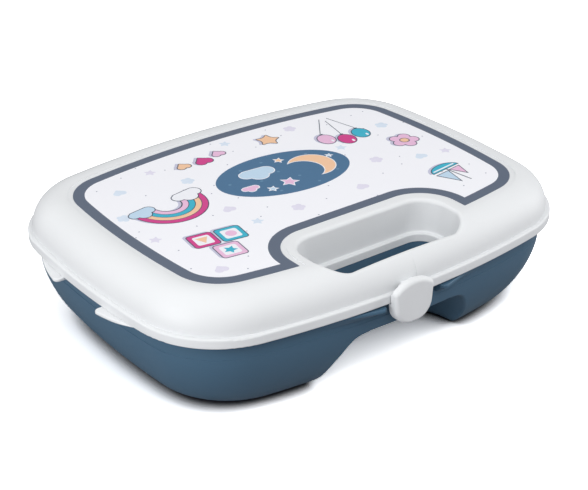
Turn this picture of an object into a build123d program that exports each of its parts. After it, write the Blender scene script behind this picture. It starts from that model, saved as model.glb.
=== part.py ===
from build123d import *
import os
from math import atan2, cos, degrees, pi, radians, sin, sqrt, tan

# Toy baby care case: a shallow carrying case of two moulded plastic shells.
# X runs along the handle side, +Y points to the hinge side and Z is up. Sizes are in millimetres.
# The origin is on the floor, under the middle of the case.

# Plan of the case, at the outside of the lid's rim band
half_width = 150.0
half_depth = 117.0
side_bow = 570.0            # radius of the slightly bowed sides
corner_radius = 55.6

# Lid
rim_height = 55.5           # floor to the bottom of the rim band
band_height = 6.0
band_wall = 2.2
band_rounding = 1.2         # upper edge of the band
band_lower_rounding = 0.8
ledge_width = 2.8           # from the band's face in to the foot of the dome
dome_height = 20.0          # from the band's top to the flat top
dome_radius = 19.5
lid_wall = 2.2

# Handle opening, at the step near the bottom of the lid's well
grip_half_width = 51.3
grip_depth = 38.5
grip_bar = 14.5             # from the band's front face back to the opening
grip_corner = 15.0
grip_draft = 3.0            # degrees
grip_lip = 2.4
well_wall = 2.0
step_height = 5.0           # from the rim up to the step in the well
step_width = 3.0            # from the well's wall in to the collar
step_rounding = 0.8

# Printed label and the shallow recess that it lies in
label_end_margin = 27.0     # from the band's face in to the label
label_front_margin = 25.5
label_back_margin = 29.5
label_bow = 540.0
label_corner = 30.0
label_thickness = 0.25
label_grip_gap = 7.0        # from the handle opening's lip to the label
recess_depth = 0.4
recess_margin = 3.5         # recess beyond the label's edge
recess_corner = 3.0         # where the recess turns round the handle opening

# Base
base_wall = 2.2
base_inset = 6.4            # from the band's face in to the base's upright rim
base_rim_depth = 11.0       # upright rim, down from the band's bottom
base_step = 0.2             # the bowl stands this far proud of the upright rim
base_step_rounding = 0.15
bowl_inset = 33.0           # from the band's face in to the edge of the flat bottom
bowl_fullness = 1.6         # exponent of the wall's curve, 2 is an ellipse
bowl_corner = 46.0          # corner radius at the flat bottom
bowl_sections = 7
flange_height = 2.0
flange_gap = 0.6            # between the base's flange and the inside of the band
seat_gap = 0.3              # between facing surfaces of the lid and the base
foot_ring = 7.0             # width of the ring that the base stands on
foot_relief = 0.8

# Finger arch under the handle bar
arch_x = 3.5                # the arch's middle, right of the middle of the case
arch_top = 36.9
arch_half_width = 36.0      # at the back, where the leaning walls would meet the flat top
arch_corner = 15.0          # between the flat top and the leaning walls
arch_lean = 0.375           # how far the walls spread per unit of height
arch_foot = 8.0             # where the leaning walls turn out to the floor
arch_sink = 0.3             # that turn would come level this far under the floor
arch_back_inset = 1.0       # the arch's back wall lies this far in from the opening's back
arch_back_corner = 16.0
arch_flare = 0.15           # sideways run of the side walls per unit of depth, towards the front
arch_edge = 1.5
arch_steps = 3              # sections on each round stretch of the walls

# Crescent tabs under the lid's band, two at each end of the case
tab_start = 21.0            # from the middle of the end to the blunt end of the tab
tab_length = 29.5
tab_reach = 5.8
tab_middle_reach = 3.5
tab_rise = 0.3              # top of the tab above the band's bottom
tab_thickness = 2.3
tab_full_length = 12.0      # the tab thins down from here on
tab_tip_thickness = 0.5
tab_nose = 3.0
tab_rounding = 0.9

# Crescent ledges on the base's front, one each side of the clasp
ledge_x = -2.0              # middle of the pair of ledges
ledge_clasp_gap = 2.0       # from the clasp to the nearer ledge
ledge_length = 44.0
ledge_reach = 9.6
ledge_middle_reach = 4.5
ledge_drop = 0.9            # from the band's bottom down to the top of the ledge
ledge_edge = 1.8            # height of the ledge's upright edge
ledge_thickness = 6.0
ledge_foot_reach = 3.0      # below its edge the ledge draws in to this
ledge_nose = 3.0
ledge_foot_nose = 1.0
ledge_rounding = 0.8
crescent_sink = 0.3         # the thin ends of tabs and ledges run this far into the wall

# Hinges at the back
hinge_x = 52.0
knuckle_radius = 4.3
hinge_reach = 5.5           # back of the knuckles beyond the rim band
hinge_drop = 5.2            # from the band's bottom down to the hinge line
knuckle_length = 14.0
gusset_angle = 37.0         # degrees above level, where the gusset's slope meets the knuckle
ear_length = 6.0
ear_rise = 2.1              # top of the ear's web above the hinge line
knuckle_gap = 0.4
hinge_pin_radius = 1.5
hinge_pin_head = 2.6
hinge_pin_head_length = 1.2
hinge_pin_head_rounding = 0.7
running_gap = 0.05

# Clasp on the front
clasp_x = -6.0              # the clasp's middle, left of the middle of the case
clasp_half_width = 14.5
clasp_reach = 5.5           # front face beyond the rim band
clasp_above = 7.3           # crown of the clasp above the band's top
clasp_height = 27.4
clasp_top_rise = 5.6        # crown of the top edge above its ends
clasp_corner = 3.2          # at the ends of the crowned top
clasp_taper = 1.8           # each side draws in this much from top to bottom
clasp_chin = 11.8           # corner radius at the bottom
clasp_plate = 2.0
clasp_wall = 1.7
clasp_depth = 7.0
clasp_edge = 2.6
clasp_gap = 0.4
pivot_drop = 4.2            # from the crown down to the pivot
pivot_depth = 4.0           # from the front face back to the pivot
lug_half_width = 4.5
lug_radius = 1.7
lug_web_rise = 0.3          # top of the lug's web above the pivot
clasp_knuckle_radius = 2.2
clasp_knuckle_end = 8.0
clasp_pin_radius = 0.8
barb_half_width = 8.0
barb_height = 2.7
catch_half_width = 11.0
catch_height = 2.8
catch_drop = 1.1            # from the band's bottom down to the top of the catch
groove_half_width = 8.0     # faint recess in the lid above the clasp
groove_depth = 0.4          # at the foot of the dome, fading out at the groove's top
groove_height = 15.0

# Heights and places worked out from the sizes above
grip_front = -(half_depth - grip_bar)
grip_back = grip_front + grip_depth
arch_back = grip_back - arch_back_inset
label_half_width = half_width - label_end_margin
label_half_depth = half_depth - (label_front_margin + label_back_margin) / 2
label_centre_y = (label_front_margin - label_back_margin) / 2
band_top = rim_height + band_height
lid_top = band_top + dome_height
seat_height = band_top - lid_wall - seat_gap
step_z = rim_height + step_height
well_top = rim_height - seat_gap
recess_floor = lid_top - recess_depth
bowl_top = rim_height - base_rim_depth
rim_inset = base_inset + base_step
base_front = -(half_depth - rim_inset)
flange_front = -(half_depth - band_wall - flange_gap)
hinge_y = half_depth + hinge_reach - knuckle_radius
hinge_z = rim_height - hinge_drop
clasp_front = -(half_depth + clasp_reach)
clasp_top = band_top + clasp_above
pivot_y = clasp_front + pivot_depth
pivot_z = clasp_top - pivot_drop
catch_top = rim_height - catch_drop
ledge_start = clasp_half_width + ledge_clasp_gap + abs(clasp_x - ledge_x)
overcut = 1.0               # how far a cutting shape runs past what it cuts
far = 400.0                 # reach of the cutting shapes that run right past the case


def bowed_face(a, b, bow, corner, z=0.0, centre_y=0.0):
    """Rounded rectangle of half-sizes a and b whose four sides bow out on a large radius."""
    side = Vector(a - bow, 0)
    back = Vector(0, b - bow)
    reach = bow - corner
    apart = (back - side).length
    across = Vector(-(back - side).Y, (back - side).X) / apart
    if across.X < 0:
        across = across * -1
    centre = (side + back) * 0.5 + across * sqrt(reach ** 2 - (apart / 2) ** 2)
    side_end = side + (centre - side).normalized() * bow
    back_end = back + (centre - back).normalized() * bow
    between = (centre - side).normalized() + (centre - back).normalized()
    corner_middle = centre + between.normalized() * corner

    def at(point, sign_x, sign_y):
        return (point.X * sign_x, point.Y * sign_y + centre_y, z)

    edges = []
    for sign_x, sign_y in ((1, 1), (-1, 1), (-1, -1), (1, -1)):
        edges.append(Edge.make_three_point_arc(
            at(side_end, sign_x, sign_y), at(corner_middle, sign_x, sign_y), at(back_end, sign_x, sign_y)))
    for sign_y in (1, -1):
        edges.append(Edge.make_three_point_arc(
            at(back_end, 1, sign_y), (0, b * sign_y + centre_y, z), at(back_end, -1, sign_y)))
    for sign_x in (1, -1):
        edges.append(Edge.make_three_point_arc(
            at(side_end, sign_x, 1), (a * sign_x, centre_y, z), at(side_end, sign_x, -1)))
    return Face(Wire(edges))


def plan_face(inset, z=0.0):
    """The case's plan, drawn in by inset from the face of the rim band."""
    return bowed_face(half_width - inset, half_depth - inset, side_bow - inset,
                      corner_radius - inset, z)


def plan_prism(inset, low, high):
    return extrude(plan_face(inset, low), amount=high - low, dir=(0, 0, 1))


def dome(shrink):
    """Solid under the lid's domed surface, drawn in all over by shrink."""
    solid = plan_prism(ledge_width + shrink, rim_height, lid_top - shrink)
    return fillet(solid.faces().sort_by(Axis.Z)[-1].edges(), dome_radius - shrink)


def grip_face(grow, z):
    """Outline of the handle opening, grown all round by grow."""
    width = 2 * (grip_half_width + grow)
    depth = grip_back - grip_front + 2 * grow
    outline = RectangleRounded(width, depth, grip_corner + grow)
    return Pos(0, (grip_back + grip_front) / 2, z) * outline


def grip_prism(grow, low, high, draft=0.0):
    """Solid of the handle opening between two heights; draft widens it towards the top."""
    flare = (high - low) * tan(radians(draft))
    return loft([grip_face(grow, low), grip_face(grow + flare, high)])


def block(x0, x1, y0, y1, z0, z1):
    return Pos((x0 + x1) / 2, (y0 + y1) / 2, (z0 + z1) / 2) * Box(x1 - x0, y1 - y0, z1 - z0)


def rod(radius, x0, x1, y, z):
    """Cylinder along X."""
    return Pos((x0 + x1) / 2, y, z) * Rot(0, 90, 0) * Cylinder(radius, x1 - x0)


def edges_at(shape, z, x_reach, y_low, y_high):
    """Edges at height z whose middles lie within x_reach of the centre and between two depths."""
    found = []
    for edge in shape.edges():
        middle = edge.position_at(0.5)
        level = abs(middle.Z - z) < 0.01 and abs(edge.tangent_at(0.5).Z) < 0.01
        if level and abs(middle.X) < x_reach and y_low < middle.Y < y_high:
            found.append(edge)
    return found


def well_flare():
    """How far the well's draft carries its wall out, from the step up to the lid's top."""
    return (lid_top - step_z) * tan(radians(grip_draft))


def bow_drop(x):
    """How far the bowed outline has drawn in at x from its middle."""
    return side_bow - sqrt(side_bow ** 2 - x ** 2)


def crescent_face(start, length, reach, middle_reach, root, nose):
    """Plan of a tab along +X on a wall facing +Y at y = 0: blunt at start, thin at its far end."""
    end = start + length
    middle = start + length / 2
    blunt = (start, reach - bow_drop(start))
    tip = (end, -bow_drop(end) - crescent_sink)
    inner_start = (start, -root - bow_drop(start))
    inner_end = (end, -root - bow_drop(end))
    outline = [Line(inner_start, blunt),
               ThreePointArc(blunt, (middle, middle_reach - bow_drop(middle)), tip),
               Line(tip, inner_end),
               Line(inner_end, inner_start)]
    face = make_face(outline)
    corner = face.vertices().sort_by_distance((blunt[0], blunt[1], 0))[0]
    return fillet(corner, nose)


def side_tabs():
    """Four crescent tabs under the band, two at each end of the case."""
    face = crescent_face(tab_start, tab_length, tab_reach, tab_middle_reach, band_wall, tab_nose)
    tab = extrude(face, amount=tab_thickness, dir=(0, 0, -1))
    tab = fillet(tab.edges().filter_by(GeomType.CIRCLE), tab_rounding)
    end = tab_start + tab_length
    thin_side = make_face(Polyline((tab_start + tab_full_length, -tab_thickness), (end, -tab_tip_thickness),
                                   (end + overcut, -tab_tip_thickness), (end + overcut, -far), close=True))
    tab -= extrude(Plane.XZ * thin_side, amount=far, both=True)
    tab = Pos(half_width, 0, rim_height + tab_rise) * mirror(Rot(0, 0, 90) * tab, about=Plane.YZ)
    pair = [tab, mirror(tab, about=Plane.XZ)]
    return pair + [mirror(one, about=Plane.YZ) for one in pair]


def front_ledges():
    """Two crescent ledges on the base's front, one each side of the clasp."""
    top = crescent_face(ledge_start, ledge_length, ledge_reach, ledge_middle_reach, base_wall / 2, ledge_nose)
    foot_share = ledge_foot_reach / ledge_reach
    foot = crescent_face(ledge_start, ledge_length, ledge_foot_reach, ledge_middle_reach * foot_share,
                         base_wall / 2, ledge_foot_nose)
    ledge = loft([top, Pos(0, 0, -ledge_edge) * top, Pos(0, 0, -ledge_thickness) * foot], ruled=True)
    rim = [edge for edge in ledge.edges().filter_by(GeomType.CIRCLE) if abs(edge.center().Z) < 0.01]
    ledge = fillet(rim, ledge_rounding)
    ledge = Pos(0, base_front, rim_height - ledge_drop) * mirror(ledge, about=Plane.XZ)
    return [Pos(ledge_x, 0, 0) * ledge, Pos(ledge_x, 0, 0) * mirror(ledge, about=Plane.YZ)]


def lid_knuckles():
    """One knuckle for each hinge, on a gusset that comes down from the lid's band."""
    half = knuckle_length / 2
    inner_y = half_depth - bow_drop(hinge_x - half) - band_wall
    band_y = half_depth - bow_drop(hinge_x + half)
    slope = radians(gusset_angle)
    gusset = [(inner_y, hinge_z), (inner_y, band_top - lid_wall), (band_y, band_top - band_rounding),
              (hinge_y + knuckle_radius * cos(slope), hinge_z + knuckle_radius * sin(slope)),
              (hinge_y, hinge_z)]
    knuckles = []
    for middle in (-hinge_x, hinge_x):
        face = Plane.YZ.offset(middle - half) * make_face(Polyline(*gusset, close=True))
        knuckles.append(extrude(face, amount=2 * half, dir=(1, 0, 0)))
        knuckles.append(rod(knuckle_radius, middle - half, middle + half, hinge_y, hinge_z))
    return knuckles


def base_ears():
    """Two ears for each hinge, one each side of the lid's knuckle."""
    near = knuckle_length / 2 + knuckle_gap
    away = near + ear_length
    wall_y = half_depth - rim_inset - bow_drop(hinge_x + away) - base_wall / 2
    ears = []
    for middle in (-hinge_x, hinge_x):
        for x0, x1 in ((middle - away, middle - near), (middle + near, middle + away)):
            ears.append(block(x0, x1, wall_y, hinge_y, hinge_z - knuckle_radius, hinge_z + ear_rise))
            ears.append(rod(knuckle_radius, x0, x1, hinge_y, hinge_z))
    return ears


def hinge_bores(radius):
    reach = knuckle_length / 2 + knuckle_gap + ear_length + overcut
    return [rod(radius, x - reach, x + reach, hinge_y, hinge_z) for x in (-hinge_x, hinge_x)]


def hinge_pin():
    """Steel pin of the right hinge, with its head on the outer side."""
    half = knuckle_length / 2 + knuckle_gap + ear_length
    shank = rod(hinge_pin_radius, hinge_x - half, hinge_x + half, hinge_y, hinge_z)
    head = rod(hinge_pin_head, hinge_x + half, hinge_x + half + hinge_pin_head_length, hinge_y, hinge_z)
    rim = head.edges().filter_by(GeomType.CIRCLE).sort_by(Axis.X)[-1]
    return shank + fillet(rim, hinge_pin_head_rounding)


def lid():
    """White upper shell: rim band, dome, handle well, side tabs, hinge knuckles and clasp lug."""
    dome_solid = dome(0)
    band = plan_prism(0, rim_height, band_top)
    band = fillet(band.faces().sort_by(Axis.Z)[-1].edges(), band_rounding)
    band = fillet(band.faces().sort_by(Axis.Z)[0].edges(), band_lower_rounding)
    outer = band + dome_solid
    inner = plan_prism(band_wall, rim_height, band_top - lid_wall) + dome(lid_wall)

    shell = outer + lid_knuckles() - inner - clasp_groove(dome_solid)

    shell += grip_prism(well_wall, step_z - well_wall, lid_top, grip_draft) & outer
    shell += grip_prism(well_wall - step_width, rim_height, step_z)
    shell -= grip_prism(0, step_z, lid_top + overcut, grip_draft)
    shell -= grip_prism(-step_width, rim_height - overcut, step_z + overcut)
    collar_reach = grip_half_width - step_width / 2
    collar = edges_at(shell, step_z, collar_reach, grip_front + step_width / 2, grip_back - step_width / 2)
    shell = fillet(collar, step_rounding)
    shell = fillet([edge for edge in shell.edges() if is_lip(edge)], grip_lip)

    recess = label_face(-recess_margin, recess_floor)
    mouth = recess.vertices().filter_by(lambda vertex: vertex.Y > grip_front).sort_by(Axis.Y)[:2]
    shell -= extrude(fillet(mouth, recess_corner), amount=recess_depth + overcut, dir=(0, 0, 1))
    shell += side_tabs()

    lug_root = -(half_depth - ledge_width - lid_wall / 2)
    lug_left = clasp_x - lug_half_width
    lug_right = clasp_x + lug_half_width
    shell += block(lug_left, lug_right, pivot_y, lug_root, pivot_z - lug_radius, pivot_z + lug_web_rise)
    shell += rod(lug_radius, lug_left, lug_right, pivot_y, pivot_z)
    shell -= rod(clasp_pin_radius + running_gap, lug_left - overcut, lug_right + overcut, pivot_y, pivot_z)
    shell -= hinge_bores(hinge_pin_radius + running_gap)
    return shell


def clasp_groove(dome_solid):
    """Faint recess in the dome above the clasp: deepest at the dome's foot, fading out upwards."""
    top = band_top + groove_height
    above_centre = top - (lid_top - dome_radius)
    top_y = -(half_depth - ledge_width) + dome_radius - sqrt(dome_radius ** 2 - above_centre ** 2)
    fade = degrees(atan2(groove_depth, groove_height))
    tilted = dome_solid.rotate(Axis((0, top_y, top), (1, 0, 0)), fade)
    groove = block(clasp_x - groove_half_width, clasp_x + groove_half_width, -half_depth, top_y, band_top, top)
    return (groove & dome_solid) - tilted


def is_lip(edge):
    """True for the edges where the well's wall meets the outside of the lid."""
    middle = edge.position_at(0.5)
    reach = well_flare() + overcut
    inside_x = abs(middle.X) < grip_half_width + reach
    inside_y = grip_front - reach < middle.Y < grip_back + reach
    return inside_x and inside_y and middle.Z > band_top + step_height


def label_face(shrink, z):
    """Outline of the printed label, drawn in by shrink, with its bite around the handle opening."""
    sheet = bowed_face(label_half_width - shrink, label_half_depth - shrink, label_bow - shrink,
                       label_corner - shrink, z, label_centre_y)
    return sheet - grip_face(well_flare() + grip_lip + label_grip_gap + shrink, z)


def label():
    return extrude(label_face(0, recess_floor), amount=label_thickness, dir=(0, 0, 1))


def bowl(wall):
    """Solid bowl below the upright rim; wall draws it in, for the inside."""
    top_inset = base_inset + wall
    top_corner = corner_radius - top_inset
    sections = []
    for number in range(bowl_sections):
        angle = number * pi / 2 / (bowl_sections - 1)
        depth = sin(angle) ** (2 / bowl_fullness)
        lean = 1 - cos(angle) ** (2 / bowl_fullness)
        inset = top_inset + lean * (bowl_inset - top_inset)
        corner = top_corner + lean * (bowl_corner - wall - top_corner)
        z = bowl_top - depth * (bowl_top - wall)
        sections.append(bowed_face(half_width - inset, half_depth - inset, side_bow - inset, corner, z))
    return loft(sections)


def arch_plan(spread, z):
    """Plan of the finger space, open to the front and grown by spread at the sides and the back."""
    back = arch_back + spread
    half = arch_half_width + spread
    front_half = half + arch_flare * far
    face = make_face(Polyline((-half, back), (half, back), (front_half, back - far),
                              (-front_half, back - far), close=True))
    corners = [vertex for vertex in face.vertices() if abs(vertex.Y - back) < 0.01]
    return Pos(arch_x, 0, z) * fillet(corners, arch_back_corner + spread)


def arch_void(grow):
    """Finger space under the handle bar: a flat top, a round shoulder, leaning walls and a round foot."""
    steep = atan2(1, arch_lean)
    shoulder_spread = -arch_corner * tan(steep / 2)
    foot_spread = arch_lean * (arch_top + arch_sink) + arch_foot * tan(steep / 2)
    angles = [steep * number / arch_steps for number in range(arch_steps + 1)]
    sections = []
    for angle in angles:
        spread = shoulder_spread + (arch_corner + grow) * sin(angle)
        z = arch_top - arch_corner + (arch_corner + grow) * cos(angle)
        sections.append(arch_plan(spread, z))
    for angle in reversed(angles):
        spread = foot_spread - (arch_foot - grow) * sin(angle)
        z = arch_foot - arch_sink - (arch_foot - grow) * cos(angle)
        sections.append(arch_plan(spread, z))
    return loft(sections)


def is_arch_edge(edge):
    """True for the edges of the finger arch on the front of the base."""
    middle = edge.position_at(0.5)
    across = abs(edge.tangent_at(0.5).Y) < 0.9
    within = abs(middle.X - arch_x) < arch_half_width + arch_flare * far
    return across and within and middle.Y < arch_back and 0.01 < middle.Z < arch_top + 0.01


def base():
    """Blue lower shell: upright rim, bowl, handle well, finger arch, ledges, catch and hinge ears."""
    lower = bowl(0) - arch_void(0)
    lower = fillet([edge for edge in lower.edges() if is_arch_edge(edge)], arch_edge)
    lower = fillet(lower.faces().sort_by(Axis.Z)[-1].edges(), base_step_rounding)
    outer = lower + plan_prism(rim_inset, bowl_top - overcut, seat_height)
    outer += plan_prism(band_wall + flange_gap, seat_height - flange_height, seat_height)
    outer -= grip_prism(base_wall - step_width, well_top, seat_height + overcut)

    cavity = bowl(base_wall)
    cavity += plan_prism(rim_inset + base_wall, bowl_top - overcut, seat_height + overcut)
    cavity -= arch_void(base_wall)
    cavity -= grip_prism(base_wall - step_width, -overcut, well_top)

    shell = outer + base_ears() - cavity
    shell -= grip_prism(-step_width, -overcut, well_top + overcut)
    shell += front_ledges()
    shell += block(clasp_x - catch_half_width, clasp_x + catch_half_width, flange_front,
                   base_front + base_wall / 2, catch_top - catch_height, catch_top)
    shell -= extrude(foot_panel(), amount=foot_relief, dir=(0, 0, 1))
    shell -= hinge_bores(hinge_pin_radius)
    return shell


def foot_panel():
    """Plan of the shallow recess under the floor, inside the ring that the case stands on."""
    inset = bowl_inset + foot_ring
    panel = bowed_face(half_width - inset, half_depth - inset, side_bow - inset, bowl_corner - foot_ring)
    foot_spread = arch_lean * (arch_top + arch_sink) + arch_foot
    return panel - arch_plan(foot_spread + foot_ring, 0)


def clasp_face():
    """Front view of the clasp in X and Z: crowned top, tapering sides and a round chin."""
    side_top = clasp_top - clasp_top_rise
    bottom = clasp_top - clasp_height
    half = clasp_half_width
    chin_half = half - clasp_taper
    outline = [ThreePointArc((-half, side_top), (0, clasp_top), (half, side_top)),
               Line((half, side_top), (chin_half, bottom)),
               Line((chin_half, bottom), (-chin_half, bottom)),
               Line((-chin_half, bottom), (-half, side_top))]
    face = make_face(outline)
    chin = [vertex for vertex in face.vertices() if abs(vertex.Y - bottom) < 0.01]
    face = fillet(chin, clasp_chin)
    crown = [vertex for vertex in face.vertices() if abs(vertex.Y - side_top) < 0.01]
    return fillet(crown, clasp_corner)


def clasp():
    """White front clasp: a hollow box, open at the back, drawn about x = 0 and hung on a pin near its top."""
    front = Plane(origin=(0, clasp_front, 0), x_dir=(1, 0, 0), z_dir=(0, -1, 0))
    solid = extrude(front * clasp_face(), amount=-clasp_depth)
    rim = [edge for edge in solid.edges() if abs(edge.center().Y - clasp_front) < 0.01]
    solid = fillet(rim, clasp_edge)
    inside = front.offset(-clasp_plate) * offset(clasp_face(), amount=-clasp_wall)
    shell = solid - extrude(inside, amount=-clasp_depth)
    shell -= block(-far, far, -(half_depth + clasp_gap), far, rim_height - clasp_gap, far)
    shell -= block(-far, far, pivot_y, far, band_top + clasp_gap, far)

    inner_face = clasp_front + clasp_plate / 2
    near = lug_half_width + clasp_gap
    for x0, x1 in ((-clasp_knuckle_end, -near), (near, clasp_knuckle_end)):
        shell += rod(clasp_knuckle_radius, x0, x1, pivot_y, pivot_z)
        shell += block(x0, x1, inner_face, pivot_y, pivot_z - clasp_knuckle_radius,
                       pivot_z + clasp_knuckle_radius)
    barb_top = catch_top - catch_height - clasp_gap
    shell += block(-barb_half_width, barb_half_width, inner_face, flange_front - clasp_gap,
                   barb_top - barb_height, barb_top)
    shell -= rod(clasp_pin_radius, -clasp_knuckle_end - overcut, clasp_knuckle_end + overcut,
                 pivot_y, pivot_z)
    return Pos(clasp_x, 0, 0) * shell


def clasp_pin():
    return rod(clasp_pin_radius, clasp_x - clasp_knuckle_end, clasp_x + clasp_knuckle_end, pivot_y, pivot_z)


pieces = {
    "lid_shell": lid(),
    "base_shell": base(),
    "clasp": clasp(),
    "clasp_pin": clasp_pin(),
    "hinge_pin_left": mirror(hinge_pin(), about=Plane.YZ),
    "hinge_pin_right": hinge_pin(),
    "lid_label": label(),
}
os.makedirs("parts", exist_ok=True)
for name, shape in pieces.items():
    export_step(shape, f"parts/{name}.step")
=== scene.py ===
import bpy
from math import cos, radians, sin, sqrt
from mathutils import Matrix, Vector


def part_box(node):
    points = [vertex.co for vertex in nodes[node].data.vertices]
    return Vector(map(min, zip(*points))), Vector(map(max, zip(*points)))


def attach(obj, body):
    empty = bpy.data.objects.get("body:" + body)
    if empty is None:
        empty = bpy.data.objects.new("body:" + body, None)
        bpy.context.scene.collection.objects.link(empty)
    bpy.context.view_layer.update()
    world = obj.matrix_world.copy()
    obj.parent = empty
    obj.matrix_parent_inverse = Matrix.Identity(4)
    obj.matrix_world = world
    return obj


# Sizes are in metres, in the case's own frame: X along its front, Y to its back and Z up.
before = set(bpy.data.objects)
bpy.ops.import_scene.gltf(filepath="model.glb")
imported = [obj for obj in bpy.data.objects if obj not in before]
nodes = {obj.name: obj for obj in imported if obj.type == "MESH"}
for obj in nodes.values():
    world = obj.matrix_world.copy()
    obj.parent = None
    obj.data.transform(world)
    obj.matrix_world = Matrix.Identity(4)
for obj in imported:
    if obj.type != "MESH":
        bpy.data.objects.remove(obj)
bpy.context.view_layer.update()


# Base shell
# The blue lower half, one injection moulding in polypropylene with a satin skin and a fine grain.
# Everything else hangs on it: the lid by two pins at the back, and the clasp's bite at the front.
slate_blue = (0.063, 0.134, 0.209)
slate_blue_dark = (0.058, 0.124, 0.194)


class Signal:
    """A number that changes over a surface. Arithmetic on it adds Math nodes to its finish."""

    def __init__(self, finish, socket):
        self.finish = finish
        self.socket = socket

    def math(self, operation, *others):
        inputs = dict(enumerate((self, *others)))
        return self.finish.node("ShaderNodeMath", {"operation": operation}, inputs)

    def __add__(self, other):
        return self.math("ADD", other)

    def __sub__(self, other):
        return self.math("SUBTRACT", other)

    def __rsub__(self, other):
        return self * -1 + other

    def __mul__(self, other):
        return self.math("MULTIPLY", other)

    def __pow__(self, other):
        return self.math("POWER", other)

    def __abs__(self):
        return self.math("ABSOLUTE")

    def __lt__(self, other):
        return self.math("LESS_THAN", other)

    def __gt__(self, other):
        return self.math("GREATER_THAN", other)

    __radd__ = __add__
    __rmul__ = __mul__


class Finish:
    """A material: one Principled shader, and the nodes that feed what varies over the surface."""

    def __init__(self, name, roughness, metallic=0.0, specular=0.5):
        self.material = bpy.data.materials.new(name)
        self.material.use_nodes = True
        self.tree = self.material.node_tree
        self.shader = self.tree.nodes["Principled BSDF"]
        self.roughness = roughness
        self.feed({"Roughness": roughness, "Metallic": metallic, "Specular IOR Level": specular})
        self.place = self.node("ShaderNodeTexCoord", {}, {}, "Object")

    def node(self, kind, settings, inputs, output=0):
        """Adds a node: its settings first, then the values or links of its sockets."""
        made = self.tree.nodes.new(kind)
        for name, value in settings.items():
            setattr(made, name, value)
        self.connect(made, inputs)
        return Signal(self, made.outputs[output])

    def connect(self, made, inputs):
        for name, value in inputs.items():
            if isinstance(value, Signal):
                self.tree.links.new(value.socket, made.inputs[name])
            else:
                made.inputs[name].default_value = value

    def feed(self, inputs):
        self.connect(self.shader, inputs)

    def axis(self, number):
        """The surface's place along one axis: 0 is X, 1 is Y, 2 is Z."""
        return self.node("ShaderNodeSeparateXYZ", {}, {"Vector": self.place}, number)

    def noise(self, size, detail=2.0):
        """Cloudy noise from 0 to 1 whose lumps are about size metres across."""
        inputs = {"Vector": self.place, "Scale": 1 / size, "Detail": detail}
        return self.node("ShaderNodeTexNoise", {}, inputs)

    def band(self, value, low, high):
        """0 below low, 1 above high and smooth between."""
        settings = {"interpolation_type": "SMOOTHSTEP"}
        inputs = {"Value": value, "From Min": low, "From Max": high}
        return self.node("ShaderNodeMapRange", settings, inputs)

    def blend(self, share, first, second):
        """Colour that goes from first to second as share goes from 0 to 1."""
        inputs = {0: share, 6: self.colour(first), 7: self.colour(second)}
        return self.node("ShaderNodeMix", {"data_type": "RGBA"}, inputs, 2)

    def colour(self, value):
        return value if isinstance(value, Signal) else (*value, 1.0)

    def patchy_gloss(self, size):
        """Roughness that drifts a little to both sides of the finish's own."""
        spread = 0.08
        self.feed({"Roughness": self.noise(size) * spread + (self.roughness - spread / 2)})

    def bump(self, height, distance):
        self.feed({"Normal": self.node("ShaderNodeBump", {}, {"Height": height, "Distance": distance})})

    def put_on(self, piece):
        for material_slot in piece.material_slots:
            material_slot.material = self.material
        if not piece.material_slots:
            piece.data.materials.append(self.material)


def moulded_plastic(name, pale, deep, roughness, grain_size, grain_depth, specular):
    """Injection-moulded polypropylene: slow drift of tint, fine grain and patchy gloss."""
    plastic = Finish(name, roughness, specular=specular)
    drift = plastic.noise(size=0.06)
    grain = plastic.noise(grain_size, detail=3.0)
    plastic.feed({"Base Color": plastic.blend(drift * 0.6 + grain * 0.4, deep, pale)})
    plastic.patchy_gloss(size=0.018)
    plastic.bump(grain, grain_depth)
    return plastic


base_plastic = moulded_plastic("slate_blue_plastic", slate_blue, slate_blue_dark, roughness=0.46,
                               grain_size=0.0006, grain_depth=0.00001, specular=0.3)
base_plastic.put_on(nodes["base_shell"])


# Hinge pins
# Two drawn steel pins at the back, each pushed into the base's ears with its head on the outer side.
# The lid's knuckles turn on them.
wire_grey = (0.55, 0.56, 0.58)
wire_dark = (0.40, 0.41, 0.43)
steel = Finish("drawn_steel", 0.32, metallic=1.0)
steel.feed({"Base Color": steel.blend(steel.noise(size=0.0008), wire_dark, wire_grey)})
steel.put_on(nodes["hinge_pin_left"])
steel.put_on(nodes["hinge_pin_right"])


# Lid shell
# The white upper half, a second moulding with a matt skin and hardly any grain. It carries the handle
# well, the finger tabs under its band, the knuckles of the hinges and the lug that the clasp hangs on.
cool_white = (0.76, 0.775, 0.79)
cool_white_deep = (0.74, 0.757, 0.773)
matt_skin = {"roughness": 0.50, "grain_size": 0.0015, "grain_depth": 0.000006, "specular": 0.4}
lid_plastic = moulded_plastic("cool_white_plastic", cool_white, cool_white_deep, **matt_skin)
lid_plastic.put_on(nodes["lid_shell"])


# Clasp and its pin
# The white clasp is a small hollow moulding in the lid's plastic. It swings on a steel pin in the
# lid's lug, and its barb goes under the catch on the base.
clasp_plastic = moulded_plastic("clasp_plastic", cool_white, cool_white_deep, **matt_skin)
clasp_plastic.put_on(nodes["clasp"])
steel.put_on(nodes["clasp_pin"])


# Label
# A printed film stuck in the lid's shallow recess. A slate border runs round its edge and round the
# bite at the handle opening, and tiny grey dots are strewn over the pale ground inside it.
label_half_width = 0.123
label_half_depth = 0.0895
label_centre_y = -0.002
label_bow = 0.540
label_corner = 0.030
bite_half_width = 0.0618
bite_half_depth = 0.02975
bite_corner = 0.0255
bite_centre_y = -0.08325
border_width = 0.007
dot_spacing = 0.024
dot_radius = 0.0005
border_slate = (0.112, 0.140, 0.195)
border_slate_deep = (0.104, 0.131, 0.184)
label_ground = (0.86, 0.865, 0.915)
label_ground_pale = (0.88, 0.885, 0.925)
dot_grey = (0.30, 0.31, 0.40)
film_sheen = {"roughness": 0.45, "specular": 0.35}


def reach(x, y):
    """Distance from the origin of a flat place."""
    return (x * x + y * y) ** 0.5


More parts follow.
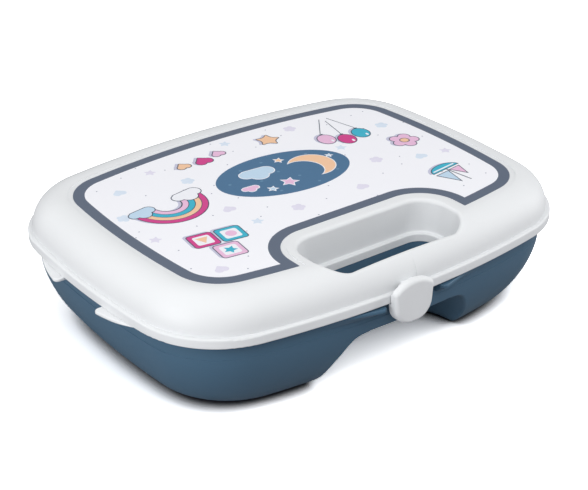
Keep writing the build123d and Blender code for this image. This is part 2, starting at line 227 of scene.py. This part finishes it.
def past_bowed_outline(x, y, inset):
    """How far a place lies outside the label's bowed outline, drawn in by inset.

    Its side and its back are arcs of one bow, and a smaller arc joins them. In the corner that lies
    between the two ways from the arc's centre, that arc decides. Elsewhere it reads -1 and has no say.
    """
    bow = label_bow - inset
    corner = label_corner - inset
    side = Vector((label_half_width - inset - bow, 0.0))
    back = Vector((0.0, label_half_depth - inset - bow))
    apart = back - side
    across = Vector((-apart.y, apart.x)).normalized()
    if across.x < 0:
        across = -across
    centre = (side + back) / 2 + across * sqrt((bow - corner) ** 2 - (apart.length / 2) ** 2)
    side_way = (centre - side).normalized()
    back_way = (centre - back).normalized()
    past_side = reach(x - side.x, y) - bow
    past_back = reach(x, y - back.y) - bow
    from_centre_x = x - centre.x
    from_centre_y = y - centre.y
    beyond_side = from_centre_y * side_way.x - from_centre_x * side_way.y > 0
    beyond_back = from_centre_x * back_way.y - from_centre_y * back_way.x > 0
    past_corner = (reach(from_centre_x, from_centre_y) - corner + 1) * beyond_side * beyond_back - 1
    return past_side.math("MAXIMUM", past_back).math("MAXIMUM", past_corner)


def past_bite(x, y, grow):
    """How far a place lies outside the bite round the handle opening, grown by grow."""
    corner = bite_corner + grow
    over_x = x - (bite_half_width + grow - corner)
    over_y = y - (bite_half_depth + grow - corner)
    outside = reach(over_x.math("MAXIMUM", 0), over_y.math("MAXIMUM", 0))
    inside = over_x.math("MAXIMUM", over_y).math("MINIMUM", 0)
    return outside + inside - corner


film = Finish("printed_film", **film_sheen)
film_x = abs(film.axis(0))
film_y = film.axis(1)
in_outline = past_bowed_outline(film_x, abs(film_y - label_centre_y), border_width) < 0
off_bite = past_bite(film_x, abs(film_y - bite_centre_y), border_width) > 0
dots = film.node("ShaderNodeTexVoronoi", {"voronoi_dimensions": "2D"},
                 {"Vector": film.place, "Scale": 1 / dot_spacing}) < dot_radius / dot_spacing
ground = film.blend(film.noise(size=0.05), label_ground, label_ground_pale)
slate = film.blend(film.noise(size=0.03), border_slate, border_slate_deep)
film.feed({"Base Color": film.blend(in_outline * off_bite, slate, film.blend(dots, ground, dot_grey))})
film.patchy_gloss(size=0.02)
film.bump(film.noise(size=0.004), distance=0.000004)
film.put_on(nodes["lid_label"])


# Printed pictures
# Nursery pictures printed on the film in flat inks, a few hundredths of a millimetre for each layer.
# They stand upright when the case hangs from its handle, so their tops point to the front.
ink_root = 0.00005
ink_step = 0.00003
label_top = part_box("lid_label")[1][2]
outline_width = 0.0006
shade_offset = (0.0014, -0.0012)
ink_colours = {
    "line": (0.045, 0.068, 0.110),
    "shade": (0.56, 0.56, 0.70),
    "white": (0.86, 0.87, 0.92),
    "badge": (0.068, 0.165, 0.295),
    "badge_dot": (0.125, 0.255, 0.40),
    "magenta": (0.63, 0.055, 0.26),
    "teal": (0.045, 0.44, 0.59),
    "pink": (0.80, 0.50, 0.70),
    "peach": (0.88, 0.56, 0.36),
    "pale_blue": (0.52, 0.68, 0.83),
    "faint_lavender": (0.75, 0.725, 0.85),
    "faint_blue": (0.68, 0.77, 0.885),
}


def ink(name, colour):
    """Flat printing ink: its tint drifts a little, and a fine screen grain shows close up."""
    finish = Finish(name, **film_sheen)
    deeper = tuple(0.93 * value for value in colour)
    drift = finish.noise(size=0.004)
    screen_grain = finish.noise(size=0.0004)
    finish.feed({"Base Color": finish.blend(drift * 0.5 + screen_grain * 0.5, deeper, colour)})
    return finish.material


inks = {name: ink(name + "_ink", colour) for name, colour in ink_colours.items()}


def deselect():
    bpy.ops.object.select_all(action="DESELECT")


def edit_all():
    """Opens the active object in edit mode with all of it selected."""
    bpy.ops.object.mode_set(mode="EDIT")
    bpy.ops.mesh.select_all(action="SELECT")


def settle():
    """Leaves edit mode and puts the shape's place into its mesh."""
    bpy.ops.object.mode_set(mode="OBJECT")
    bpy.ops.object.transform_apply(location=True, rotation=True, scale=True)
    return bpy.context.object


def disc(x, y, width, height=None, sides=40):
    """Flat round, or an oval where a height is given."""
    deselect()
    bpy.ops.mesh.primitive_circle_add(vertices=sides, radius=width / 2, fill_type="NGON", location=(x, y, 0))
    if height:
        edit_all()
        bpy.ops.transform.resize(value=(1, height / width, 1), center_override=(x, y, 0))
    return settle()


def slab(x, y, width, height, corner=0.0, turn=0.0):
    """Flat rectangle with round corners, turned about its middle."""
    deselect()
    bpy.ops.mesh.primitive_plane_add(size=1, location=(x, y, 0), rotation=(0, 0, radians(turn)))
    bpy.context.object.scale = (width, height, 1)
    bpy.ops.object.transform_apply(location=True, rotation=True, scale=True)
    if corner:
        edit_all()
        bpy.ops.mesh.bevel(offset=corner, segments=6, affect="VERTICES")
    return settle()


def triangle(x, y, width, height):
    """Flat triangle that points up. With equal sides it is one and a half radii high."""
    deselect()
    radius = width / sqrt(3)
    bpy.ops.mesh.primitive_circle_add(vertices=3, radius=radius, fill_type="NGON", location=(x, y, 0))
    edit_all()
    bpy.ops.transform.resize(value=(1, height / (1.5 * radius), 1), center_override=(x, y, 0))
    return settle()


def star(x, y, width, rounding=0.0):
    """Flat five-pointed star: every other corner of a ten-sided shape drawn in to half its reach."""
    deselect()
    bpy.ops.mesh.primitive_circle_add(vertices=10, radius=width / 2, fill_type="NGON", location=(x, y, 0))
    bpy.ops.object.mode_set(mode="EDIT")
    bpy.ops.mesh.select_all(action="DESELECT")
    bpy.ops.object.mode_set(mode="OBJECT")
    for vertex in bpy.context.object.data.vertices:
        vertex.select = vertex.index % 2 == 1
    bpy.ops.object.mode_set(mode="EDIT")
    bpy.ops.transform.resize(value=(0.5, 0.5, 1), center_override=(x, y, 0))
    bpy.ops.mesh.select_all(action="SELECT")
    if rounding:
        bpy.ops.mesh.bevel(offset=rounding, segments=5, affect="VERTICES")
    return settle()


def arc_band(x, y, outer, inner):
    """Flat upper half of a ring."""
    deselect()
    bpy.ops.mesh.primitive_circle_add(vertices=64, radius=outer, fill_type="NOTHING", location=(x, y, 0))
    edit_all()
    bpy.ops.mesh.extrude_edges_move()
    bpy.ops.transform.resize(value=(inner / outer, inner / outer, 1), center_override=(x, y, 0))
    bpy.ops.mesh.select_all(action="SELECT")
    bpy.ops.mesh.bisect(plane_co=(x, y, 0), plane_no=(0, 1, 0), clear_inner=True)
    return settle()


def half_disc(x, y, width, height):
    """Flat lower half of an oval, its straight edge on top."""
    disc(x, y, width, height * 2)
    edit_all()
    bpy.ops.mesh.bisect(plane_co=(x, y, 0), plane_no=(0, 1, 0), clear_outer=True)
    return settle()


def pick(shape):
    """Makes one object the only selected and the active one."""
    deselect()
    shape.select_set(True)
    bpy.context.view_layer.objects.active = shape


def height_of(level):
    """Height of a layer of ink over the bottom of the print, which lies a little in the film."""
    return ink_root + level * ink_step


def thicken(shape, level):
    """Raises a flat shape into a closed film of ink whose top is at the given level."""
    pick(shape)
    edit_all()
    bpy.ops.mesh.extrude_region_move(TRANSFORM_OT_translate={"value": (0, 0, height_of(level))})
    bpy.ops.mesh.select_all(action="SELECT")
    bpy.ops.mesh.normals_make_consistent(inside=False)
    bpy.ops.object.mode_set(mode="OBJECT")


def combine(shape, other, operation):
    """Merges another thick shape into this one, or cuts it out."""
    pick(shape)
    merge = shape.modifiers.new("merge", "BOOLEAN")
    merge.operation = operation
    merge.solver = "EXACT"
    merge.object = other
    bpy.ops.object.modifier_apply(modifier=merge.name)
    bpy.data.objects.remove(other)


def printed(shapes, level, fill, line=None, cut=None):
    """One area of ink made of overlapping flat shapes, with an outline where a line ink is named.

    Its level is its layer on the film, counted from 1, so that what is printed later lies higher.
    """
    area = shapes[0]
    for shape in shapes:
        thicken(shape, level)
    for shape in shapes[1:]:
        combine(area, shape, "UNION")
    if cut:
        thicken(cut, level + 1)
        combine(area, cut, "DIFFERENCE")
    edit_all()
    bpy.ops.mesh.dissolve_limited(angle_limit=radians(1))
    bpy.ops.mesh.select_all(action="DESELECT")
    bpy.ops.object.mode_set(mode="OBJECT")
    area.data.materials.clear()
    area.data.materials.append(inks[line or fill])
    if line:
        area.data.materials.append(inks[fill])
        for face in area.data.polygons:
            face.select = face.normal.z > 0.9 and face.center.z > height_of(level) / 2
        bpy.ops.object.mode_set(mode="EDIT")
        bpy.ops.mesh.inset(thickness=outline_width, depth=0)
        bpy.ops.object.mode_set(mode="OBJECT")
        for face in area.data.polygons:
            face.material_index = int(face.select)
    return area


def copy_of(area, fill, x, y, height=1.0):
    """A copy of a finished area, all in one ink, moved aside and given its share of the height."""
    copy = area.copy()
    copy.data = area.data.copy()
    bpy.context.scene.collection.objects.link(copy)
    copy.data.materials.clear()
    copy.data.materials.append(inks[fill])
    for face in copy.data.polygons:
        face.material_index = 0
    pick(copy)
    copy.location = (x, y, 0)
    copy.scale.z = height
    bpy.ops.object.transform_apply(location=True, rotation=True, scale=True)
    return copy


def shade(area, level):
    """Soft lavender shade under a finished area: one layer high and a little aside."""
    return copy_of(area, "shade", *shade_offset, height_of(1) / height_of(level))


def picture(name, areas, x, y, tilt=0.0):
    """Joins the areas of one picture and lays it on the label, upright for whoever carries the case."""
    deselect()
    for area in areas:
        area.select_set(True)
    piece = areas[0]
    bpy.context.view_layer.objects.active = piece
    bpy.ops.object.join()
    piece.name = name
    piece.rotation_euler = (0, 0, radians(180 + tilt))
    piece.location = (x, y, label_top - ink_root)
    bpy.ops.object.transform_apply(location=True, rotation=True, scale=True)
    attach(piece, "lid")


def cloud(x, y, width, level, fill, line):
    """A cloud: three rounds side by side on a flat foot."""
    left = disc(x - 0.26 * width, y, 0.44 * width)
    middle = disc(x + 0.02 * width, y + 0.13 * width, 0.52 * width)
    right = disc(x + 0.29 * width, y + 0.01 * width, 0.40 * width)
    foot = slab(x, y - 0.12 * width, 0.70 * width, 0.20 * width, corner=0.08 * width)
    return printed([left, middle, right, foot], level, fill, line)


def heart(x, y, width, level, fill, line=None):
    """A heart: a square on its corner with a round on each upper side, a little wider than the side."""
    side = 0.56 * width
    lobe = side / (2 * sqrt(2))
    lobes = [disc(x + way * lobe, y + lobe, 1.08 * side) for way in (-1, 1)]
    point = slab(x, y, side, side, corner=0.07 * width, turn=45)
    return printed([point] + lobes, level, fill, line)


def flower(x, y, width, level, fill, line=None):
    """A flower: five rounds set in a ring about a middle."""
    ring = 0.28 * width
    turns = [radians(360 * number / 5 + 90) for number in range(5)]
    petals = [disc(x + ring * cos(turn), y + ring * sin(turn), 0.42 * width) for turn in turns]
    return printed([disc(x, y, 0.5 * width)] + petals, level, fill, line)


badge_dots = [(-0.036, 0.002), (-0.031, 0.014), (-0.027, -0.016), (-0.012, 0.022), (-0.006, 0.009),
              (0.004, -0.020), (0.015, 0.021), (0.018, 0.003), (0.021, -0.017), (0.031, 0.013),
              (0.037, -0.003), (0.002, -0.003)]
badge_stars = [(0.004, 0.013, 0.013, "pink"), (0.018, 0.016, 0.008, "pale_blue"),
               (-0.007, -0.017, 0.008, "peach"), (-0.038, -0.006, 0.006, "pale_blue")]
badge = [printed([disc(0, 0, width=0.092, height=0.056, sides=72)], 1, "badge")]
badge += [printed([disc(x, y, width=0.0022, height=0.0018, sides=12)], 2, "badge_dot")
          for x, y in badge_dots]
for level, fill, inset in ((3, "white", 0.0), (4, "peach", outline_width)):
    bite = disc(-0.0125, 0.0035, 0.026 + 2 * inset, sides=64)
    moon = disc(-0.021, 0.0, 0.031 - 2 * inset, sides=64)
    badge.append(printed([moon], level, fill, cut=bite))
badge.append(cloud(0.014, -0.009, 0.026, 3, "pale_blue", "white"))
badge.append(cloud(0.029, 0.008, 0.013, 3, "pink", "white"))
badge += [printed([star(x, y, width)], 3, fill, "white") for x, y, width, fill in badge_stars]
picture("label_night_badge", badge, 0.004, 0.014, tilt=-4)

rainbow_radius = 0.0250
stripe_width = 0.0034
stripe_step = 0.0039
rainbow = [printed([arc_band(0, 0, outer=rainbow_radius, inner=0.0085)], 2, "line")]
rainbow.append(shade(rainbow[0], 2))
for number, fill in enumerate(("magenta", "peach", "teal", "pink")):
    outer = rainbow_radius - outline_width - number * stripe_step
    rainbow.append(printed([arc_band(0, 0, outer, outer - stripe_width)], 3, fill))
rainbow.append(cloud(-0.0175, -0.002, 0.023, 4, "white", "line"))
rainbow.append(cloud(0.0175, -0.003, 0.020, 4, "pale_blue", "line"))
picture("label_rainbow", rainbow, -0.078, 0.020, tilt=10)

block_width = 0.0165
panel_width = 0.0105
block_places = {"teal": (-0.0088, -0.008), "magenta": (0.0088, -0.008), "pink": (0.0005, 0.0095)}
blocks = []
for fill, place in block_places.items():
    block = printed([slab(*place, block_width, block_width, corner=0.0024)], 2, fill, "line")
    panel = printed([slab(*place, panel_width, panel_width, corner=0.0015)], 3, "white")
    blocks += [block, shade(block, 2), panel]
magenta_x, magenta_y = block_places["magenta"]
blocks.append(printed([disc(*block_places["teal"], 0.0068)], 4, "pink"))
blocks.append(printed([triangle(magenta_x, magenta_y - 0.0009, 0.0078, 0.0070)], 4, "peach"))
blocks.append(printed([star(*block_places["pink"], 0.0088)], 4, "teal"))
picture("label_toy_blocks", blocks, -0.079, -0.040, tilt=-8)

hearts = []
for x, y, width, fill in ((-0.014, 0.0, 0.0105, "pink"), (0.0, 0.002, 0.0130, "magenta"),
                          (0.0145, 0.0, 0.0105, "peach")):
    one = heart(x, y, width, 2, fill, "line")
    hearts += [one, shade(one, 2)]
picture("label_hearts", hearts, -0.026, 0.062, tilt=6)

string_length = 0.024
string_width = 0.0005
balloons = []
for x, y, lean, fill in ((-0.0125, 0.005, 24, "teal"), (0.0, 0.010, 0, "magenta"),
                         (0.0125, 0.005, -24, "pink")):
    string_x = x + string_length / 2 * sin(radians(lean))
    string = printed([slab(string_x, y - 0.0205, string_width, string_length, turn=lean)], 2, "line")
    knot = printed([triangle(x, y - 0.0080, 0.0030, 0.0030)], 2, "line")
    balloon = printed([disc(x, y, 0.0125, 0.0155)], 3, fill, "line")
    gloss = printed([disc(x - 0.0028, y + 0.0036, 0.0018, 0.0034, sides=16)], 4, "white")
    balloons += [string, knot, balloon, shade(balloon, 3), gloss]
picture("label_balloons", balloons, 0.070, 0.040, tilt=-12)

bloom = flower(0, 0, 0.021, 2, "pink", "line")
middle = printed([disc(0, 0, 0.0068)], 3, "peach", "line")
picture("label_flower", [bloom, shade(bloom, 2), middle], 0.096, 0.006)

hull = printed([half_disc(0, -0.0045, 0.024, 0.0075)], 2, "teal", "line")
hull_stripe = printed([slab(0, -0.0068, 0.0190, 0.0012)], 3, "white")
mast = printed([slab(0, 0.005, 0.0007, 0.021)], 2, "line")
main_sail = printed([triangle(0.0064, 0.0030, 0.0118, 0.0165)], 3, "pale_blue", "line")
fore_sail = printed([triangle(-0.0054, 0.0010, 0.0098, 0.0120)], 3, "pink", "line")
boat = [hull, shade(hull, 2), mast, main_sail, fore_sail, hull_stripe]
picture("label_sailing_boat", boat, 0.088, -0.048, tilt=8)

big_star = printed([star(0, 0, 0.019, rounding=0.0024)], 2, "peach", "line")
picture("label_star", [big_star, shade(big_star, 2)], 0.026, 0.060, tilt=12)

# Faint specks between the pictures. Their places are given on the case. They are laid out with both
# signs changed, because picture turns everything half round about the case's middle.
lavender = "faint_lavender"
blue = "faint_blue"
speck_stars = [(0.106, -0.022, lavender), (0.056, 0.022, blue), (-0.048, -0.030, blue),
               (-0.062, 0.064, lavender), (0.000, 0.072, blue), (-0.108, -0.014, lavender)]
speck_hearts = [(0.088, -0.018, blue), (-0.052, -0.006, lavender), (-0.092, 0.052, blue),
                (-0.098, -0.064, lavender), (0.030, -0.030, lavender)]
speck_flowers = [(0.062, -0.006, lavender), (0.100, 0.034, blue), (-0.018, -0.030, lavender),
                 (-0.050, 0.040, blue), (0.048, 0.066, lavender), (-0.108, 0.020, blue)]
speck_star = printed([star(0, 0, 0.0085, rounding=0.0005)], 1, blue)
speck_heart = heart(0, 0, 0.0085, 1, blue)
speck_flower = flower(0, 0, 0.0090, 1, blue)
specks = []
for speck, places in ((speck_star, speck_stars), (speck_heart, speck_hearts), (speck_flower, speck_flowers)):
    specks += [copy_of(speck, fill, -x, -y) for x, y, fill in places]
    bpy.data.objects.remove(speck)
picture("label_specks", specks, 0, 0)


# Floor
# A wide pale floor under the case. It isn't part of the object. The camera alone sees it brighter than
# it is, as in an overexposed studio shot, so the open floor is white out to its far edge and the lamps'
# shadow of the case stays. On top of that a painted shadow, read from ambient occlusion, darkens the
# floor the camera sees where the base comes down to it and under its arch.
floor_width = 8.0
painted_foot_shadow_reach = 0.022
painted_arch_shadow_reach = 0.15
whitening_start = 0.5
whitening_end = 4.5
floor_grey = (0.38, 0.38, 0.40)
floor_seen = (2.15, 2.15, 2.17)
far_floor_seen = (30.0, 30.0, 30.0)
# Dark colour of the painted shadow, as the camera sees it.
painted_shadow_seen = (0.03, 0.03, 0.04)
bpy.ops.mesh.primitive_plane_add(size=floor_width, location=(0, 0, 0))
floor = bpy.context.object
floor.name = "floor"
floor_finish = Finish("pale_floor", 0.9, specular=0.0)
seen = floor_finish.node("ShaderNodeLightPath", {}, {}, "Is Camera Ray")
# Painted shadow: ambient occlusion near the base's foot and under its arch blends the floor the camera sees
# toward the dark shadow colour.
near_foot = floor_finish.node("ShaderNodeAmbientOcclusion", {"samples": 32},
                              {"Distance": painted_foot_shadow_reach}, "AO")
under_arch = floor_finish.node("ShaderNodeAmbientOcclusion", {"samples": 16},
                               {"Distance": painted_arch_shadow_reach}, "AO")
painted_shadow_openness = floor_finish.band(near_foot, 0.1, 0.5) * floor_finish.band(under_arch, 0.0, 0.3)
out = reach(floor_finish.axis(0), floor_finish.axis(1))
far = floor_finish.band(out, whitening_start, whitening_end)
open_floor = floor_finish.blend(far, floor_seen, far_floor_seen)
shaded = floor_finish.blend(painted_shadow_openness, painted_shadow_seen, open_floor)
floor_finish.feed({"Base Color": floor_finish.blend(seen, floor_grey, shaded)})
floor_finish.put_on(floor)


# Light
# Soft boxes overhead, high in front and at both sides, and a dim white surround, which the camera
# alone sees at full white.
surround_light = 0.23


def soft_box(name, place, aim, size, watts):
    """A square area lamp turned to what it lights."""
    data = bpy.data.lights.new(name, "AREA")
    data.shape = "SQUARE"
    data.size = size
    data.energy = watts
    lamp = bpy.data.objects.new(name, data)
    lamp.location = place
    lamp.rotation_euler = (Vector(aim) - Vector(place)).to_track_quat("-Z", "Y").to_euler()
    bpy.context.scene.collection.objects.link(lamp)


soft_box("overhead", (0.0, 0.5, 1.5), (0, 0, 0), size=1.5, watts=8.0)
soft_box("front_box", (-0.25, -1.05, 1.4), (0, 0, 0), size=1.2, watts=14.2)
soft_box("left_box", (-1.4, -0.15, 0.45), (0, 0, 0.03), size=0.9, watts=12.0)
soft_box("right_box", (1.3, -0.5, 0.45), (0, 0, 0.03), size=0.9, watts=9.5)
world = bpy.data.worlds.new("surround")
world.use_nodes = True
background = world.node_tree.nodes["Background"]
background.inputs["Color"].default_value = (1, 1, 1, 1)
ray = world.node_tree.nodes.new("ShaderNodeLightPath")
strength = world.node_tree.nodes.new("ShaderNodeMath")
strength.operation = "MAXIMUM"
strength.inputs[1].default_value = surround_light
world.node_tree.links.new(ray.outputs["Is Camera Ray"], strength.inputs[0])
world.node_tree.links.new(strength.outputs[0], background.inputs["Strength"])
bpy.context.scene.world = world


# Camera
# At the photograph's viewing angle, over the case's left front corner, as far off as its perspective
# tells and with its slight tilt.
view_azimuth = radians(-37.22)
view_elevation = radians(27.72)
view_distance = 0.912
view_target = Vector((-0.01956, -0.02749, 0.0555))
view_roll = radians(-0.13)
photo_width = 588
focal_pixels = 1520.45
sensor_width = 36.0
outward = Vector((sin(view_azimuth) * cos(view_elevation), -cos(view_azimuth) * cos(view_elevation),
                  sin(view_elevation)))
camera_data = bpy.data.cameras.new("camera")
camera_data.sensor_width = sensor_width
camera_data.lens = focal_pixels * sensor_width / photo_width
camera = bpy.data.objects.new("camera", camera_data)
bpy.context.scene.collection.objects.link(camera)
turn = (-outward).to_track_quat("-Z", "Y").to_matrix().to_4x4() @ Matrix.Rotation(view_roll, 4, "Z")
camera.matrix_world = Matrix.Translation(view_target + outward * view_distance) @ turn
bpy.context.scene.camera = camera
bpy.context.scene.view_settings.view_transform = "Standard"
